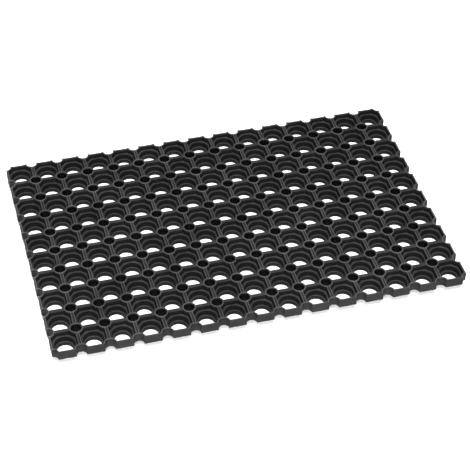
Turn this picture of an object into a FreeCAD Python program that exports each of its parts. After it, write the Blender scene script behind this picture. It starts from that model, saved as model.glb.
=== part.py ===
"""Hollow rubber scraper mat, 600 x 400 x 22 mm, moulded in one piece.

Millimetres, +Z up. The origin is the centre of the rectangle that the mat stands on.

The moulding is a square lattice of open cells. Every cell is an octagonal pocket that narrows
to a round foot cup, and the mat stands on the rims of the cups. A small drain hole runs down
through every crossing of the lattice, inside a raised ring, and the outer edges cut through the
holes of the border. Twin ridges with a groove between them join the rings from front to back.

The rubber bends along the front-to-back lines through the cell centres. The mat is therefore
written as one strip of rubber for each line of drain holes, and neighbouring strips meet face to
face on the bending lines.
"""
import FreeCAD, Part
import os

# Lattice
PITCH = 40.0
COLUMNS = 15
ROWS = 10
LENGTH = PITCH * COLUMNS
WIDTH = PITCH * ROWS

# Heights above the floor
CUP_WEB_Z = 7.1
STEP_Z = 5.5
LEDGE_Z = 6.1
RIM_Z = 14.3
TERRACE_Z = 18.3
GROOVE_Z = 19.0
WALL_Z = 20.4
RIDGE_Z = 21.6
RING_Z = 22.0
ABOVE = 25.0

# Round foot cup, from the floor up
CUP_FOOT_R = 13.2
CUP_ROOT_R = 14.6
MOUTH_R = 11.3
STEP_R = 11.8
LEDGE_R = 13.8
BORE_TOP_R = 14.7

# Octagonal pocket: half widths across the flats, and across the corner facets
RIM_FLAT = 16.4
RIM_FACET = 17.7
TERRACE_FLAT = 17.2
TERRACE_FACET = 18.4

# Drain hole, its ring, and the twin ridges with the groove between them
HOLE_TOP_R = 7.2
HOLE_FOOT_R = 7.4
RING_R = 9.8
RIDGE_X = 1.8
RIDGE_WIDTH = 1.5
GROOVE_WIDTH = 1.9

UP = FreeCAD.Vector(0, 0, 1)


def row_centres():
    """Y of each row of cells."""
    return [-WIDTH / 2 + PITCH * (row + 0.5) for row in range(ROWS)]


def crossings():
    """Y of each drain hole along a strip, with the half holes at both edges."""
    return [-WIDTH / 2 + PITCH * row for row in range(ROWS + 1)]


def prism(points, low, high):
    """Upright prism on a closed outline of (x, y) points."""
    corners = [FreeCAD.Vector(x, y, low) for x, y in points]
    face = Part.Face(Part.makePolygon(corners + corners[:1]))
    return face.extrude(UP * (high - low))


def block(x_low, x_high, y_low, y_high, low, high):
    """Upright box between the given limits."""
    corner = FreeCAD.Vector(x_low, y_low, low)
    return Part.makeBox(x_high - x_low, y_high - y_low, high - low, corner)


def octagon(x, y, flat, facet):
    """Outline of an octagon with flats facing X and Y and four corner facets."""
    corner = facet * 2 ** 0.5 - flat
    quarter = [(flat, corner), (corner, flat)]
    points = []
    for _ in range(4):
        points += [(x + px, y + py) for px, py in quarter]
        quarter = [(-py, px) for px, py in quarter]
    return points


def cone(x, y, low, high, low_r, high_r):
    """Upright cone frustum."""
    return Part.makeCone(low_r, high_r, high - low, FreeCAD.Vector(x, y, low), UP)


def cell_bore(x, y):
    """Round inside of a foot cup: the mouth on the floor, a step, a ledge and the bore above."""
    profile = [(0, 0), (MOUTH_R, 0), (STEP_R, STEP_Z), (LEDGE_R, LEDGE_Z),
               (BORE_TOP_R, RIM_Z), (0, RIM_Z)]
    corners = [FreeCAD.Vector(x + radius, y, height) for radius, height in profile]
    face = Part.Face(Part.makePolygon(corners + corners[:1]))
    return face.revolve(FreeCAD.Vector(x, y, 0), UP, 360)


def cell_space(x, y):
    """All the open space of a cell: cup bore, octagonal pocket and wider terrace."""
    pocket = prism(octagon(x, y, RIM_FLAT, RIM_FACET), RIM_Z, TERRACE_Z)
    terrace = prism(octagon(x, y, TERRACE_FLAT, TERRACE_FACET), TERRACE_Z, ABOVE)
    return [cell_bore(x, y), pocket, terrace]


def ridges():
    """The two ridges that run from ring to ring along the top of a wall."""
    half = RIDGE_WIDTH / 2
    return [block(side * RIDGE_X - half, side * RIDGE_X + half, -WIDTH / 2, WIDTH / 2,
                  RIM_Z, RIDGE_Z) for side in (-1, 1)]


def strip(x_low, x_high):
    """Strip around one line of drain holes, between two limits counted from that line."""
    half = PITCH / 2
    solid = block(x_low, x_high, -WIDTH / 2, WIDTH / 2, CUP_WEB_Z, WALL_Z)
    cups = [cone(side * half, y, 0, CUP_WEB_Z, CUP_FOOT_R, CUP_ROOT_R)
            for side in (-1, 1) for y in row_centres()]
    rings = [Part.makeCylinder(RING_R, RING_Z - RIM_Z, FreeCAD.Vector(0, y, RIM_Z), UP)
             for y in crossings()]
    groove = block(-GROOVE_WIDTH / 2, GROOVE_WIDTH / 2, -WIDTH / 2, WIDTH / 2, GROOVE_Z, ABOVE)
    solid = solid.fuse(cups + ridges()).cut(groove).fuse(rings)
    spaces = [space for side in (-1, 1) for y in row_centres()
              for space in cell_space(side * half, y)]
    holes = [cone(0, y, CUP_WEB_Z, RING_Z, HOLE_FOOT_R, HOLE_TOP_R) for y in crossings()]
    solid = solid.cut(spaces + holes)
    limits = block(x_low, x_high, -WIDTH / 2, WIDTH / 2, 0, ABOVE)
    solids = solid.common(limits).removeSplitter().Solids
    if len(solids) != 1:
        raise ValueError("a strip should be one solid, not %d" % len(solids))
    return solids[0]


def strips():
    """Name and solid of every strip, from the left edge to the right edge."""
    half = PITCH / 2
    left_edge, middle, right_edge = strip(0, half), strip(-half, half), strip(-half, 0)
    for index in range(COLUMNS + 1):
        shape = {0: left_edge, COLUMNS: right_edge}.get(index, middle)
        solid = shape.translated(FreeCAD.Vector(-LENGTH / 2 + PITCH * index, 0, 0))
        yield "strip_%02d" % (index + 1), solid


def main():
    """Write one STEP file for each strip."""
    os.makedirs("parts", exist_ok=True)
    for name, solid in strips():
        solid.exportStep("parts/%s.step" % name)
        print(name, "valid" if solid.isValid() else "INVALID", round(solid.Volume, 1), "mm3")


main()
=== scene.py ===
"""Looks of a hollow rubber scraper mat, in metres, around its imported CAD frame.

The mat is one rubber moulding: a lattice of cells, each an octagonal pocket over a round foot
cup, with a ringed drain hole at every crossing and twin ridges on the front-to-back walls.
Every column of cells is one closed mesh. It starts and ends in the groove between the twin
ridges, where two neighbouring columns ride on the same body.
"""
import bpy
import math
import numpy as np
from mathutils import Matrix, Vector


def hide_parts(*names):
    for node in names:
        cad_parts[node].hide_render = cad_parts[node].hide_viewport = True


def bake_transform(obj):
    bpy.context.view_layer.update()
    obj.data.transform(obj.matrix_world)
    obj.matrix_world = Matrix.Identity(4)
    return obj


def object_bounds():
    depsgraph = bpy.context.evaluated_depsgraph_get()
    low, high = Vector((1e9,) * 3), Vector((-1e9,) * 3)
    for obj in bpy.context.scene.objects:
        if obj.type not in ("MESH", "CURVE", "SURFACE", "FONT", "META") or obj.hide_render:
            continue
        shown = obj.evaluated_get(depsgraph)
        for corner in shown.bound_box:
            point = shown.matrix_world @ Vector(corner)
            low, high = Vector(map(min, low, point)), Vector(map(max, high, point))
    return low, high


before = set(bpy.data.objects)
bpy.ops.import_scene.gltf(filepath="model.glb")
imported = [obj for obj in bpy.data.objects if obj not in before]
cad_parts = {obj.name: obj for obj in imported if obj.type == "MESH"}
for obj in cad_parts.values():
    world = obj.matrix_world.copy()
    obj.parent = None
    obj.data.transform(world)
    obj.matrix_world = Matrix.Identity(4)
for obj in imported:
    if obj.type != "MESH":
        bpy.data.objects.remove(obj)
cad_low, cad_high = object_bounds()

MM = 0.001
STRIPS = sorted(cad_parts)
CELL_COLUMNS = len(STRIPS) - 1
PITCH = (cad_high[0] - cad_low[0]) / CELL_COLUMNS
CELL_ROWS = round((cad_high[1] - cad_low[1]) / PITCH)
HALF = PITCH / 2

# Heights above the floor, and how far rings and ridges rise above the walls. Fullness is the
# exponent of a crest's profile: the lower, the squarer
LEDGE_Z = 5.8 * MM
WEB_Z = 7.1 * MM
RIM_Z = 14.3 * MM
WALL_Z = 20.4 * MM
RING_RISE = 1.6 * MM
RING_FULLNESS = 0.8
RIDGE_RISE = 1.2 * MM
RIDGE_FULLNESS = 0.5

# Tread: drain hole, ring and ridges
HOLE_R = 7.35 * MM
HOLE_FOOT_R = 7.4 * MM
RING_MIDDLE_R = 8.7 * MM
RING_HALF_WIDTH = 1.35 * MM
RIDGE_X = 1.9 * MM
RIDGE_HALF_WIDTH = 0.9 * MM
GROOVE_HALF_WIDTH = 0.98 * MM
GROOVE_DEPTH = 1.4 * MM

# Rows of a cell in millimetres, from its outline in and down.
# Tread: inset from the wall centre line, which is also the inset from the edge of a drain hole
TREAD_INSETS = (0, 0.96, 1.05, 1.35, 1.90, 2.35, 2.62, 2.80)
# Pocket: inset, radius about the drain hole, height
POCKET_ROWS = ((2.85, 10.2, 19.8), (2.95, 10.25, 18.65), (3.0, 10.3, 18.35),
               (3.1, 10.45, 18.3), (3.2, 10.55, 18.05), (3.3, 10.65, 17.5))
# Rim: half width across the flats, across the facets, height
RIM_ROWS = ((16.5, 17.75, 14.8), (16.25, 17.55, 14.35))
# Cup, inside down to the floor and outside up to the web: radius, height
CUP_ROWS = ((15.0, 14.25), (14.65, 14.05), (14.5, 13.5), (14.15, 9.5), (13.9, 6.6), (13.7, 6.2),
            (12.8, 6.0), (12.25, 5.8), (12.05, 5.3), (11.55, 0.5), (11.8, 0.0), (12.8, 0.0),
            (13.25, 0.45), (14.2, 6.3), (14.7, 7.1))

# Wall of a drain hole: a lip of this taper and height at its foot, and its last row below the wall top
HOLE_TAPER = 0.1 * MM
HOLE_LIP = 0.5 * MM
HOLE_WALL_DROP = 2.2 * MM

# The angle from which an edge is sharp
SHARP_ANGLE = math.radians(38)

# Finish: the rubber's two tones, and how pale it is from 0 to 1. Level faces are paler by their
# height: cup ledge, rim, wall top, ridges and rings, as dust and as a painted highlight where the
# crests and the cup ledge catch the light
DEEP_BLACK = (0.001, 0.001, 0.001, 1)
# The pale tone stands for scuffs and dust, and also for the painted highlight on crests and ledge
SCUFFED_AND_HIGHLIT_BLACK = (0.06, 0.06, 0.061, 1)
# Painted highlight, partly dust: the ridges, rings and cup ledge are paler to stand for the light they
# catch
DUST_AND_HIGHLIGHT_BY_HEIGHT = ((LEDGE_Z, 0.33), (RIM_Z, 0.23), (WALL_Z, 0.23), (WALL_Z + RIDGE_RISE, 0.8),
                  (WALL_Z + RING_RISE, 0.75))
# Painted shade: the groove between the ridges keeps only this share of the paleness, so it reads dark
SHADED_GROOVE_SHARE = 0.05
# Painted light and shade: the walls of the cells are kept dark as if in shade, while the outer faces
WALL_PALE = 0.03
FOOT_PALE = 0.12
# and the half drain holes open at the border are paler, as painted light
LIT_OUTER_PALE = 0.2
BORDER = 3 * MM
BORDER_WEAR = 1.6
UPWARD_FALLOFF = 1.5
NEAR = 0.1 * MM

# Grain of the rubber: layers of noise that vary the paleness (dust and painted light), as scale,
# detail and the factors that its low and high values give, then the roughness in the same form,
# then the bump
DUST_LAYERS = ((70, 7, 0.75, 1.2), (14, 2, 0.9, 1.4), (900, 4, 0.7, 1.35))
ROUGHNESS_LAYER = (140, 4, 0.42, 0.6)
NOISE_LOW, NOISE_HIGH = 0.3, 0.7
BUMP_SCALE, BUMP_DETAIL = 1600, 5
BUMP_STRENGTH = 0.6
BUMP_HEIGHT = 0.2 * MM
SHEEN = 0.05

# Stage
FLOOR_SIZE = 40
FLOOR_Z = -0.2 * MM
FLOOR_GREY = 0.85
FLOOR_ROUGHNESS = 0.9
WORLD_LIGHT = 0.15
OVERHEAD_LIGHT = 6.2
OVERHEAD_SPREAD = math.radians(26)
FILL_LIGHT = 120
FILL_SIZE = (3.0, 0.8)
FILL_PLACE = (-0.3, -2.2, 1.25)

# Camera
CAMERA_AZIMUTH = math.radians(-15.82)
CAMERA_ELEVATION = math.radians(42.86)
CAMERA_ROLL = math.radians(0.99)
CAMERA_DISTANCE = 2.312
CAMERA_TARGET = Vector((0.0006, -0.0327, 0.0205))
CAMERA_LENS = 121.05

# Samples round a quarter of a cell
STRAIGHT_SAMPLES = (0, 0.35, 0.62, 0.80, 0.90)
CORNER_STEPS = 8
CORNER_ANGLE = math.radians(32.4)


def quarter(straight, corner):
    """Points of a quarter outline, from the middle of its +X side to the middle of its +Y side."""
    first = [straight(t) for t in STRAIGHT_SAMPLES]
    bend = [corner(step / CORNER_STEPS) for step in range(CORNER_STEPS + 1)]
    last = [straight(t)[::-1] for t in reversed(STRAIGHT_SAMPLES[1:])]
    return np.array(first + bend + last)


def whole(quarter_points):
    """A quarter outline turned four times, counted anticlockwise round the cell."""
    turns = []
    points = quarter_points
    for _ in range(4):
        turns.append(points)
        points = np.stack([-points[:, 1], points[:, 0]], axis=1)
    return np.concatenate(turns)


def around_hole(inset, radius):
    """Outline that keeps inset from the wall centre lines and radius from the drain holes."""
    flat = HALF - inset
    reach = HALF - math.sqrt(radius ** 2 - inset ** 2)
    start, end = math.acos(inset / radius), math.asin(inset / radius)

    def bend(t):
        angle = start + (end - start) * t
        return HALF - radius * math.cos(angle), HALF - radius * math.sin(angle)

    return whole(quarter(lambda t: (flat, reach * t), bend))


def octagon(flat, facet):
    """Octagon outline: half widths across the flats and across the corner facets."""
    corner = facet * math.sqrt(2) - flat
    return whole(quarter(lambda t: (flat, corner * t),
                         lambda t: (flat + (corner - flat) * t, corner + (flat - corner) * t)))


def circle(radius):
    """Round outline."""
    def at(angle):
        return radius * math.cos(angle), radius * math.sin(angle)

    span = math.pi / 2 - 2 * CORNER_ANGLE
    return whole(quarter(lambda t: at(CORNER_ANGLE * t), lambda t: at(CORNER_ANGLE + span * t)))


def dome(distance, half_width, fullness):
    """Rounded crest, from 1 in the middle to 0 at half_width."""
    return np.clip(1 - (distance / half_width) ** 2, 0, 1) ** fullness


def tread_height(points):
    """Height of the tread at points of a cell: the wall top, its ridges and the rings."""
    from_wall = HALF - np.abs(points)
    hole = np.hypot(from_wall[:, 0], from_wall[:, 1])
    ring = RING_RISE * dome(hole - RING_MIDDLE_R, RING_HALF_WIDTH, RING_FULLNESS)
    ridge = RIDGE_RISE * dome(from_wall[:, 0] - RIDGE_X, RIDGE_HALF_WIDTH, RIDGE_FULLNESS)
    groove = -GROOVE_DEPTH * (from_wall[:, 0] < GROOVE_HALF_WIDTH)
    on_ring = np.abs(hole - RING_MIDDLE_R) < RING_HALF_WIDTH
    return WALL_Z + np.where(on_ring, np.maximum(ring, ridge), np.maximum(ridge, groove))


def level(points, height):
    """Outline at one height."""
    return np.column_stack([points, np.full(len(points), height)])


def cell_rows():
    """All outlines of a cell, from its tread edge in, down the cup and back out underneath."""
    rows = []
    for inset in TREAD_INSETS:
        points = around_hole(inset * MM, HOLE_R + inset * MM)
        rows.append(np.column_stack([points, tread_height(points)]))
    for inset, radius, height in POCKET_ROWS:
        rows.append(level(around_hole(inset * MM, radius * MM), height * MM))
    for flat, facet, height in RIM_ROWS:
        rows.append(level(octagon(flat * MM, facet * MM), height * MM))
    for radius, height in CUP_ROWS:
        rows.append(level(circle(radius * MM), height * MM))
    rows.append(level(around_hole(0, HOLE_FOOT_R), WEB_Z))
    rows.append(level(around_hole(0, HOLE_FOOT_R - HOLE_TAPER), WEB_Z + HOLE_LIP))
    rows.append(level(around_hole(0, HOLE_R), WALL_Z - HOLE_WALL_DROP))
    return np.array(rows)


def cell_faces(rows, sides_open):
    """Quads of a cell. Side walls that meet another cell of the same column are left out."""
    count, samples = rows.shape[:2]
    row, sample = np.meshgrid(np.arange(count), np.arange(samples), indexing="ij")
    next_row, next_sample = (row + 1) % count, (sample + 1) % samples
    quads = np.stack([row * samples + sample, row * samples + next_sample,
                      next_row * samples + next_sample, next_row * samples + sample], axis=-1)
    quads = quads.reshape(-1, 4)
    points = rows.reshape(-1, 3)
    keep = np.ones(len(quads), bool)
    for side in sides_open:
        on_side = np.abs(points[:, 1] - side * HALF) < MM / 100
        keep &= ~on_side[quads].all(axis=1)
    return quads[keep]


def column_mesh(index):
    """One closed mesh of all the cells of a column."""
    rows = cell_rows()
    centre_x = cad_low[0] + PITCH * (index + 0.5)
    points, faces = [], []
    for cell in range(CELL_ROWS):
        sides_open = [side for side in (-1, 1) if 0 <= cell + side < CELL_ROWS]
        faces.append(cell_faces(rows, sides_open) + cell * rows.shape[0] * rows.shape[1])
        centre_y = cad_low[1] + PITCH * (cell + 0.5)
        points.append(rows.reshape(-1, 3) + np.array([centre_x, centre_y, 0]))
    points, faces = np.concatenate(points), np.concatenate(faces)
    micrometres = np.round(points / MM * 1000).astype(int)
    _, first, same = np.unique(micrometres, axis=0, return_index=True, return_inverse=True)
    faces = same.reshape(-1)[faces]
    used, faces = np.unique(faces, return_inverse=True)
    mesh = bpy.data.meshes.new("cells_%02d" % (index + 1))
    mesh.from_pydata(points[first][used].tolist(), [], faces.reshape(-1, 4).tolist())
    mesh.validate()
    mesh.shade_smooth()
    mesh.set_sharp_from_angle(angle=SHARP_ANGLE)
    paint(mesh, points[first][used])
    return mesh


def drain_wall(points):
    """Which points lie on the wall of a drain hole."""
    from_hole = (points[:, :2] - np.array(cad_low)[:2]) / PITCH
    radius = PITCH * np.hypot(*(from_hole - np.round(from_hole)).T)
    return (radius < HOLE_FOOT_R + NEAR) & (points[:, 2] < WALL_Z - MM)


def paint(mesh, points):
    """Attributes for the finish: where a point lies at rest, and how pale the rubber is there.

    Faces that look up are paler, the crests and the border most: dust and scuffs, and on the crests
    and the cup ledge also a painted highlight. The groove between the ridges is painted darker as
    shade. The outer faces and the feet are a little paler than the walls of the cells, the outer
    faces as painted light against the shaded cells, and the walls of the drain holes are painted
    deep black as shade.
    """
    normals = np.empty(len(points) * 3)
    mesh.vertices.foreach_get("normal", normals)
    # Painted highlight and dust: faces that look up are paler, most on the crests and the cup ledge
    up = np.clip(normals.reshape(-1, 3)[:, 2], 0, 1) ** UPWARD_FALLOFF
    dust_and_painted_light = np.interp(points[:, 2], *zip(*DUST_AND_HIGHLIGHT_BY_HEIGHT))
    edge = np.minimum(cad_high[0] - np.abs(points[:, 0]), cad_high[1] - np.abs(points[:, 1]))
    # Painted shade in the groove between the ridges
    groove = np.abs(points[:, 2] - WALL_Z + GROOVE_DEPTH) < NEAR
    pale = WALL_PALE + up * dust_and_painted_light * np.where(groove, SHADED_GROOVE_SHARE, 1)
    pale[edge < BORDER] *= BORDER_WEAR
    # Painted light on the outer faces
    pale[edge < NEAR] = LIT_OUTER_PALE
    pale[(points[:, 2] > NEAR) & (points[:, 2] < LEDGE_Z)] += FOOT_PALE
    drain = drain_wall(points)
    # Painted shade: the walls of the drain holes are deep black; the half holes open at the border take
    # the painted light of the outer faces
    pale[drain] = np.where(edge[drain] < HALF, LIT_OUTER_PALE, 0)
    rest = mesh.attributes.new("rest", "FLOAT_VECTOR", "POINT")
    rest.data.foreach_set("vector", points.astype(np.float32).ravel())
    mesh.attributes.new("pale", "FLOAT", "POINT").data.foreach_set("value", pale.astype(np.float32))


def rubber():
    """Matt black moulded rubber with a fine grain, paler in patches where it is scuffed or dusty, and
    with the painted highlights and shade of its pale attribute.
    """
    material = bpy.data.materials.new("black_rubber")
    material.use_nodes = True
    nodes, links = material.node_tree.nodes, material.node_tree.links
    shader = nodes["Principled BSDF"]
    shader.inputs["Specular IOR Level"].default_value = SHEEN

    def attribute(name, output):
        node = nodes.new("ShaderNodeAttribute")
        node.attribute_name = name
        return node.outputs[output]

    def noise(scale, detail):
        node = nodes.new("ShaderNodeTexNoise")
        node.inputs["Scale"].default_value = scale
        node.inputs["Detail"].default_value = detail
        links.new(place, node.inputs["Vector"])
        return node.outputs["Fac"]

    def layer(scale, detail, low, high):
        node = nodes.new("ShaderNodeMapRange")
        node.inputs["From Min"].default_value = NOISE_LOW
        node.inputs["From Max"].default_value = NOISE_HIGH
        node.inputs["To Min"].default_value = low
        node.inputs["To Max"].default_value = high
        links.new(noise(scale, detail), node.inputs["Value"])
        return node.outputs["Result"]

    def product(first, second):
        node = nodes.new("ShaderNodeMath")
        node.operation = "MULTIPLY"
        links.new(first, node.inputs[0])
        links.new(second, node.inputs[1])
        return node.outputs["Value"]

    place = attribute("rest", "Vector")
    # Paleness holds dust and scuffs, and painted highlights and shade
    dust_and_painted_light = attribute("pale", "Fac")
    for settings in DUST_LAYERS:
        dust_and_painted_light = product(dust_and_painted_light, layer(*settings))
    tone = nodes.new("ShaderNodeValToRGB")
    tone.color_ramp.elements[0].color = DEEP_BLACK
    tone.color_ramp.elements[1].color = SCUFFED_AND_HIGHLIT_BLACK
    links.new(dust_and_painted_light, tone.inputs["Fac"])
    links.new(tone.outputs["Color"], shader.inputs["Base Color"])
    links.new(layer(*ROUGHNESS_LAYER), shader.inputs["Roughness"])

    bump = nodes.new("ShaderNodeBump")
    bump.inputs["Strength"].default_value = BUMP_STRENGTH
    bump.inputs["Distance"].default_value = BUMP_HEIGHT
    links.new(noise(BUMP_SCALE, BUMP_DETAIL), bump.inputs["Height"])
    links.new(bump.outputs["Normal"], shader.inputs["Normal"])
    return material


def build_mat():
    """Every column of cells between the two strips that it joins; the strips are hidden."""
    material = rubber()
    for index in range(CELL_COLUMNS):
        mesh = column_mesh(index)
        mesh.materials.append(material)
        column = bpy.data.objects.new(mesh.name, mesh)
        bpy.context.collection.objects.link(column)
        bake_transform(column)
        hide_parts(STRIPS[index], STRIPS[index + 1])


def build_floor():
    """Plain pale floor."""
    bpy.ops.mesh.primitive_plane_add(size=FLOOR_SIZE, location=(0, 0, FLOOR_Z))
    floor = bpy.context.object
    floor.name = "floor"
    material = bpy.data.materials.new("pale_floor")
    material.use_nodes = True
    shader = material.node_tree.nodes["Principled BSDF"]
    shader.inputs["Base Color"].default_value = (FLOOR_GREY, FLOOR_GREY, FLOOR_GREY, 1)
    shader.inputs["Roughness"].default_value = FLOOR_ROUGHNESS
    floor.data.materials.append(material)


def build_light():
    """Soft white studio light: a broad one from above, a low one in front, and a weak one all round."""
    world = bpy.data.worlds.new("studio")
    bpy.context.scene.world = world
    world.use_nodes = True
    background = world.node_tree.nodes["Background"]
    background.inputs["Color"].default_value = (1, 1, 1, 1)
    background.inputs["Strength"].default_value = WORLD_LIGHT
    light = bpy.data.lights.new("overhead", "SUN")
    light.energy = OVERHEAD_LIGHT
    light.angle = OVERHEAD_SPREAD
    overhead = bpy.data.objects.new("overhead", light)
    overhead.location = (0, 0, 2)
    bpy.context.collection.objects.link(overhead)
    fill = bpy.data.lights.new("front_fill", "AREA")
    fill.shape = "RECTANGLE"
    fill.size, fill.size_y = FILL_SIZE
    fill.energy = FILL_LIGHT
    front_fill = bpy.data.objects.new("front_fill", fill)
    front_fill.location = FILL_PLACE
    front_fill.rotation_euler = (Vector() - front_fill.location).to_track_quat("-Z", "Y").to_euler()
    bpy.context.collection.objects.link(front_fill)
    bpy.context.scene.view_settings.view_transform = "Standard"


def build_camera():
    """Camera above the front left corner, looking down at the tread."""
    camera = bpy.data.objects.new("camera", bpy.data.cameras.new("camera"))
    flat = math.cos(CAMERA_ELEVATION)
    back = Vector((math.sin(CAMERA_AZIMUTH) * flat, -math.cos(CAMERA_AZIMUTH) * flat,
                   math.sin(CAMERA_ELEVATION)))
    right = Vector((0, 0, 1)).cross(back).normalized()
    up = back.cross(right)
    turn, tilt = math.cos(CAMERA_ROLL), math.sin(CAMERA_ROLL)
    rolled = Matrix((right * turn + up * tilt, up * turn - right * tilt, back)).transposed()
    camera.matrix_world = Matrix.Translation(CAMERA_TARGET + back * CAMERA_DISTANCE) @ rolled.to_4x4()
    camera.data.lens = CAMERA_LENS
    bpy.context.collection.objects.link(camera)
    bpy.context.scene.camera = camera


build_mat()
build_floor()
build_light()
build_camera()
